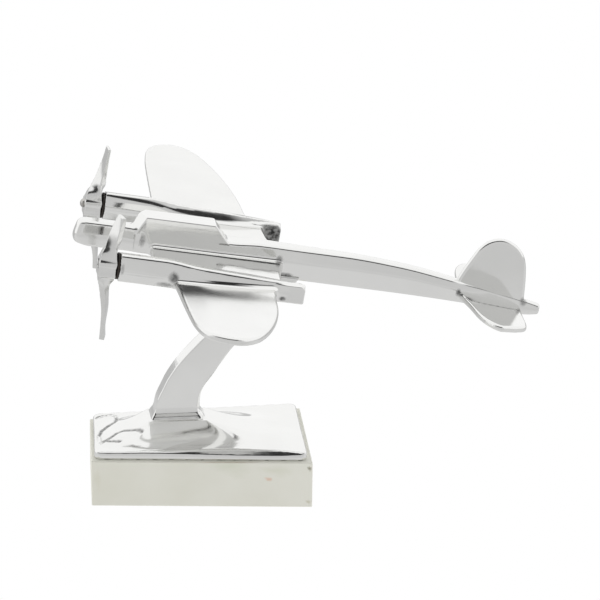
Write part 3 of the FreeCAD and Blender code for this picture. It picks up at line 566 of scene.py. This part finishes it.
cast_piece("fuselage_casting", fuselage_piece, (-25, -14, -20), (283, 14, 18), 0.7, CAST,
           ("fuselage",), ATTITUDE, shade=shade_and_roughness_spots)
cast_piece("fin_casting", fin, (223, -4, -14), (272, 4, 30), 0.6, CAST,
           ("fin",), ATTITUDE, shade=shade_and_roughness_spots)
for name, sign in SIDES:
    def wing_at(x, y, z, name=name, sign=sign):
        d = rounded_or(nacelle(x, y - sign * HUB_Y, z, name), inner_wing(x, y, z), FILLET)
        return rounded_or(d, outer_wing(x, y, z, sign), 3.0)

    def bounded(inner, outer, form=wing_at, sign=sign):
        return lambda x, y, z: np.maximum(form(x, y, z), np.maximum(inner - sign * y, sign * y - outer))

    def span(inner, outer, sign=sign):
        return (min(sign * inner, sign * outer), max(sign * inner, sign * outer))

    y0, y1 = span(12, 48 + LAP)
    cast_piece(name + "_inner_wing_casting", bounded(12, 48 + LAP), (22, y0, -9), (112, y1, 3), 0.8, CAST,
               ("center_wing",), ATTITUDE, shade=shade_and_roughness_spots)
    y0, y1 = span(48, 72 + LAP)
    cast_piece(name + "_nacelle_casting", bounded(48, 72 + LAP), (-1, y0, -11), (118, y1, 10), 0.7, CAST,
               (name + "_nacelle",), ATTITUDE, shade=shade_and_roughness_spots)
    y0, y1 = span(72, 190)
    cast_piece(name + "_wing_casting", bounded(72, 192), (34, y0, -9), (99, y1, 10), 0.9, SATIN,
               (name + "_wing",), ATTITUDE)

    def tail(x, y, z, sign=sign):
        return np.maximum(stabilizer(x, y, z, sign), 1.0 - sign * y)

    y0, y1 = span(1, 61)
    cast_piece(name + "_stabilizer_casting", tail, (225, y0, -19), (272, y1, -5), 0.7, CAST,
               (name + "_stabilizer",), ATTITUDE)

# ------------------------------------------------------------------ propellers (mm, from the hub point)
# distance from the axis, half chord, half thickness, turn from the disc plane, middle x
BLADES = {
    "left_upper": ((3, 5.3, 6.7, 89, -7.1), (6, 5, 6.2, 86, -7.1), (8.8, 4.5, 5.5, 82, -6.8),
                   (12.5, 3.5, 4.4, 68, -5.8), (20, 3.7, 2.4, 46, -4.7),
                   (31.9, 4.1, 1.2, 16, -2.8)),
    "left_lower": ((3, 4.8, 5.6, 86, -7.2), (7, 4.6, 4.2, 80, -7), (9.2, 4.3, 3.2, 68, -6.9),
                   (13.9, 3.7, 2, 34, -6.9), (17, 3.9, 1.7, 28, -6.4), (30, 4.4, 1.4, 16, -4.2),
                   (40, 4.6, 1.3, 10, -3.7), (47.5, 5, 1.6, 10, -2.9)),
    "right_upper": ((3, 5.3, 6.7, 89, -7.1), (6, 5, 6.2, 86, -7.1), (8.8, 4.5, 5.5, 82, -6.8),
                    (12.5, 3.7, 3.8, 62, -5.7), (17, 3.6, 2.2, 36, -4.8), (24, 4.3, 1.3, 19, -4),
                    (31, 4.6, 1, 9, -3.2), (38.9, 4.6, 0.9, 4, -2.6)),
    "right_lower": ((3, 4.8, 5.6, 86, -7.2), (7, 4.6, 4.2, 80, -7), (9.2, 4.3, 3.2, 68, -6.9),
                    (13.9, 4.4, 2, 36, -5.4), (24, 4.6, 1.5, 20, -2.4), (34, 4.7, 1.3, 10, -0.1),
                    (41.9, 4.8, 1.3, 6, 0.8)),
}
HUB_FRONT, HUB_BACK, HUB_HALF = -12.6, -1.7, 6.9
BORE, COUNTERBORE, COUNTERBORE_DEPTH = 2.17, 3.2, 2.8
WASHER_CLEAR, NACELLE_CLEAR = 8.7, 13


def blade(x, y, z, rows, up):
    """One blade: a bar along z that turns from edge-on at the hub to nearly flat at its tip."""
    r = z * up
    half, thick, turn, mid = [smooth_steps(r, [(row[0], row[c]) for row in rows]) for c in range(1, 5)]
    turn = -np.radians(turn) * up
    across = (x - mid) * np.cos(turn) - y * np.sin(turn)
    along = (x - mid) * np.sin(turn) + y * np.cos(turn)
    d = rounded_and(np.abs(across) - thick, np.abs(along) - half, 0.45)
    return rounded_and(rounded_and(d, r - rows[-1][0], 0.45), 1 - r, 0.5)


def propeller(x, y, z, name):
    """A square hub with two blades, bored for its sleeve; the left hub has a counterbore for the screw."""
    ends = np.abs(x - (HUB_FRONT + HUB_BACK) / 2) - (HUB_BACK - HUB_FRONT) / 2
    hub = rounded_and(np.abs(y) - HUB_HALF, ends, 1.0)
    hub = rounded_and(hub, -6.3 - z, 0.7)
    hub = rounded_and(hub, z - 3.0, 1.0)
    d = rounded_or(hub, blade(x, y, z, BLADES[name + "_upper"], 1), 2.0)
    d = rounded_or(d, blade(x, y, z, BLADES[name + "_lower"], -1), 2.0)
    r = np.sqrt(y * y + z * z)
    past_washer = np.where(y * y + z * z < NACELLE_CLEAR ** 2, x + 0.5, -9)
    clear = np.where(y * y + z * z < WASHER_CLEAR ** 2, x - HUB_BACK, past_washer)
    d = np.maximum(np.maximum(d, clear), BORE - r)
    if name == "left":
        d = np.maximum(d, -np.maximum(r - COUNTERBORE, x - HUB_FRONT - COUNTERBORE_DEPTH))
    return d


for name, sign in SIDES:
    cast_piece(name + "_propeller_casting", lambda x, y, z, name=name: propeller(x, y, z, name),
               (-14, -8, -49), (3, 8, 40), 0.5, SHADED_BLADE, (name + "_propeller",),
               ATTITUDE @ Matrix.Translation((0, sign * HUB_Y, 0)), body=name + "_prop")

# ------------------------------------------------------------------ arm and cap (mm, row frame)
ARM = closed_curve([(2.0, 40), (-28.4, 40), (-28.6, 49), (-28.3, 54.8), (-27.0, 61.6), (-23.8, 68.6),
                    (-20.6, 75.2), (-15.2, 83.5), (-9.1, 91.0), (-2.7, 97.8), (4.3, 104.9), (30, 132.7),
                    (41, 145), (64, 141), (54.4, 131), (22.1, 96.8), (14.6, 86.8), (8.2, 77.3), (3.0, 70.2),
                    (0.8, 64.4), (0.3, 57), (0.6, 49)],
                   corners=(0, 1, 12, 13), steps=4)
ARM_HALF = 7.0
# minus the height, how far the foot spreads there
FOOT_SPREAD = ((-60, 0.0), (-56.5, 0.05), (-53.5, 0.5), (-50.8, 1.9), (-48, 3.2))
FOOT_X, FOOT_MID, FOOT_HALF = 19.0, -13.9, 11.2
BAND_SLOPE = math.radians(33)
BLOCK_LENGTH, BLOCK_HALF_NOSE, BLOCK_HALF_TAIL = 140, 36.15, 47.15
CAP_INSET = 3.2
CAP_NOSE, CAP_NOSE_SKEW, CAP_TAIL = 67.4, 0.018, 66.8
CAP_TOP = 48.6
CAP_LOW = 31.0
CAP_RIM = 36.4
FOLD_DEPTH = 0.45
# The cap's piece takes the bottom of the arm with it, and the arm's piece starts a little lower.
CAP_PIECE_TOP, ARM_PIECE_LOW = 50, 48.5
# x, height of the cap just inside its front rim, height of the lower edge of the ground band along it
FRONT_RIM = (
    (-66, 36.0, 34.7), (-25, 36.1, 34.4), (0, 36.8, 34.0),
    (25, 37.6, 33.5), (48, 37.4, 33.4), (67, 36.2, 34.4),
)


def arm(x, y, z):
    """In the arm's own upright plane."""
    spread = smooth_steps(-z, FOOT_SPREAD)
    edge = 1.1 + 2.6 * smooth_steps(z, ((56, 1.0), (70, 0.0))) * smooth_steps(x, ((-10, 0.0), (-3, 1.0)))
    return rounded_and(outline_distance(x, z, ARM) - spread, np.abs(y) - ARM_HALF - spread, edge)


# Folds in the nose end of the cap, as (x, y).
FOLDS = (
    ((-64.5, 24), (-60.5, 27.5), (-55, 29), (-52.3, 26.8), (-51.8, 20), (-53.2, 12.2), (-57.7, 7.5),
     (-62.2, 0.8), (-64.2, -6.9), (-63.8, -16.8)),
    ((-63.3, -18.4), (-57.3, -12.9), (-52.8, -7.7), (-48.1, -7.4), (-43.2, -12.5), (-37, -18.3)),
    ((-59.5, -16), (-57.5, -17.4), (-51.2, -20.4)),
)


def fold_lines(x, y):
    """1 on a fold line, 0 from 1.5 mm away."""
    best = np.full(x.shape, 1e9)
    for fold in FOLDS:
        for a, b in zip(fold, fold[1:]):
            ex, ey = b[0] - a[0], b[1] - a[1]
            t = np.clip(((x - a[0]) * ex + (y - a[1]) * ey) / (ex * ex + ey * ey), 0, 1)
            best = np.minimum(best, np.hypot(x - a[0] - t * ex, y - a[1] - t * ey))
    return np.clip((1.5 - best) / 0.9, 0, 1)


def cap_half(x):
    """Half the cap's depth at x."""
    wider = BLOCK_HALF_TAIL - BLOCK_HALF_NOSE
    return BLOCK_HALF_NOSE - CAP_INSET + (x + BLOCK_LENGTH / 2) * wider / BLOCK_LENGTH


def cap(x, y, z):
    """A slab whose top rises like a tent to the foot of the arm, with a ground band along its front rim."""
    half = cap_half(x)
    side = (np.abs(y) - half) * 0.997
    nose = CAP_NOSE - CAP_NOSE_SKEW * y
    plan = rounded_and(side, np.maximum(x - CAP_TAIL, -x - nose), 4.5)
    mid = FOOT_MID * math.tan(TURN) - ARM_TO_PORT
    to_side = (np.abs(y - mid) - FOOT_HALF) / (half - FOOT_HALF)
    to_tail = (x - FOOT_MID - FOOT_X) / (CAP_TAIL - FOOT_MID - FOOT_X)
    to_nose = (FOOT_MID - FOOT_X - x) / (nose + FOOT_MID - FOOT_X)
    out = np.maximum(rounded_and(to_side, np.maximum(to_tail, to_nose), 0.03), 0)
    out = np.clip(out, 0, 1)
    near = np.clip(-y / 30, 0, 1)
    crest, ledge = [smooth_steps(x, [(row[0], row[c]) for row in FRONT_RIM]) for c in (1, 2)]
    low = CAP_RIM + (crest - CAP_RIM) * near
    tent = low + (CAP_TOP - low) * (1 - out) ** 2 - FOLD_DEPTH * fold_lines(x, y)
    d = rounded_and(plan, (z - tent) * 0.95, 2.0 - near)
    band = (-y - half) * math.cos(BAND_SLOPE) + (z - ledge) * math.sin(BAND_SLOPE)
    d = rounded_and(d, band, 0.8)
    return np.maximum(d, CAP_LOW - z)


def arm_in_row_frame(x, y, z):
    y = y + ARM_TO_PORT
    return arm(x * math.cos(TURN) + y * math.sin(TURN), y * math.cos(TURN) - x * math.sin(TURN), z)


def stand(x, y, z):
    """Arm and cap with the small fillet between them."""
    foot = arm_in_row_frame(x, y, z)
    return rounded_or(foot, cap(x, y, z), 0.9)


def cap_shade(x, y, z):
    """The grooves of the folds are darkened as painted shade, and made rougher."""
    return 0.8 * fold_lines(x, y) * (z > 36.0)


def cap_piece(x, y, z):
    return np.maximum(stand(x, y, z), z - CAP_PIECE_TOP)


def arm_piece(x, y, z):
    return np.maximum(arm_in_row_frame(x, y, z), ARM_PIECE_LOW - z)


cast_piece("base_cap_casting", cap_piece, (-70.5, -45, 30), (68, 45, 51), 0.8, CAST,
           ("base_cap",), shade=cap_shade)
cast_piece("stand_arm_casting", arm_piece, (-36, -16, 47), (66, 8, 146), 0.8, CAST, ("stand_arm",))

# ------------------------------------------------------------------ camera, floor and light
CAMERA_AT = Vector((-0.12577, -2.04390, 0.87212))
YAW = math.radians(5.33)
PITCH = math.radians(20.02)
ROLL = math.radians(0.72)
forward = Vector((math.sin(YAW) * math.cos(PITCH), math.cos(YAW) * math.cos(PITCH), -math.sin(PITCH)))
right = Vector((math.cos(YAW), -math.sin(YAW), 0))
up = right.cross(forward)
right, up = (right * math.cos(ROLL) + up * math.sin(ROLL), up * math.cos(ROLL) - right * math.sin(ROLL))
camera_data = bpy.data.cameras.new("camera")
camera_data.lens = 205.444
camera_data.sensor_width = 36
camera = bpy.data.objects.new("camera", camera_data)
camera.matrix_world = Matrix.Translation(CAMERA_AT) @ Matrix((right, up, -forward)).transposed().to_4x4()
bpy.context.scene.collection.objects.link(camera)
bpy.context.scene.camera = camera


def add_floor(name, height, tones):
    """A wide plane that glows evenly; tones run from behind the model to well in front of it."""
    mesh = bpy.data.meshes.new(name)
    mesh.from_pydata([(-8, -8, height), (8, -8, height), (8, 8, height), (-8, 8, height)], [], [(0, 1, 2, 3)])
    plane = bpy.data.objects.new(name, mesh)
    bpy.context.scene.collection.objects.link(plane)
    material, tree, shader = new_material(name)
    coords = tree.nodes.new("ShaderNodeTexCoord")
    split = tree.nodes.new("ShaderNodeSeparateXYZ")
    tree.links.new(coords.outputs["Object"], split.inputs["Vector"])
    fall = tree.nodes.new("ShaderNodeMapRange")
    for key, value in (("From Min", 0.4), ("From Max", -0.6), ("To Min", 0.0), ("To Max", 1.0)):
        fall.inputs[key].default_value = value
    tree.links.new(split.outputs["Y"], fall.inputs["Value"])
    pale = ramp(tree, fall.outputs["Result"], tones)
    shader.inputs["Base Color"].default_value = (0, 0, 0, 1)
    shader.inputs["Specular IOR Level"].default_value = 0.0
    shader.inputs["Emission Strength"].default_value = 1.0
    tree.links.new(pale.outputs["Color"], shader.inputs["Emission Color"])
    mesh.materials.append(material)
    return plane


# The floor is seen pure white; what the metal and the paint catch from it is a little grayer.
seen = add_floor("floor", 0.0, [(0.0, 1.0), (1.0, 1.0)])
seen.visible_glossy = False
caught = add_floor("floor_bounce", -0.0005,
                   [(0.0, 0.55), (0.45, 0.75), (0.62, 0.72), (0.8, 0.64), (1.0, 0.68)])
caught.visible_camera = False
caught.visible_diffuse = False

# A white studio. In front it is pale gray up to eye level, then a dark band, then the lamps' white.
world = bpy.data.worlds.new("studio")
bpy.context.scene.world = world
world.use_nodes = True
tree = world.node_tree
background = tree.nodes["Background"]
coords = tree.nodes.new("ShaderNodeTexCoord")
toward = tree.nodes.new("ShaderNodeVectorMath")
toward.operation = "DOT_PRODUCT"
toward.inputs[1].default_value = (-math.sin(YAW), -math.cos(YAW), 0)
tree.links.new(coords.outputs["Generated"], toward.inputs[0])
ahead = ramp(tree, toward.outputs["Value"], [(0.25, 0.0), (0.55, 1.0)])
height = tree.nodes.new("ShaderNodeSeparateXYZ")
tree.links.new(coords.outputs["Generated"], height.inputs["Vector"])
FRONT_GRAY = 0.63
front = ramp(tree, height.outputs["Z"], [(0.0, FRONT_GRAY), (0.46, FRONT_GRAY * 0.95), (0.52, 0.03),
                                         (0.82, 0.03), (0.88, 1.0)])
blend = tree.nodes.new("ShaderNodeMix")
blend.data_type = "RGBA"
blend.inputs["A"].default_value = (1, 1, 1, 1)
tree.links.new(ahead.outputs["Color"], blend.inputs["Factor"])
tree.links.new(front.outputs["Color"], blend.inputs["B"])
tree.links.new(blend.outputs["Result"], background.inputs["Color"])
background.inputs["Strength"].default_value = 1.05

bpy.context.scene.view_settings.view_transform = "Standard"
bpy.context.scene.view_settings.look = "None"
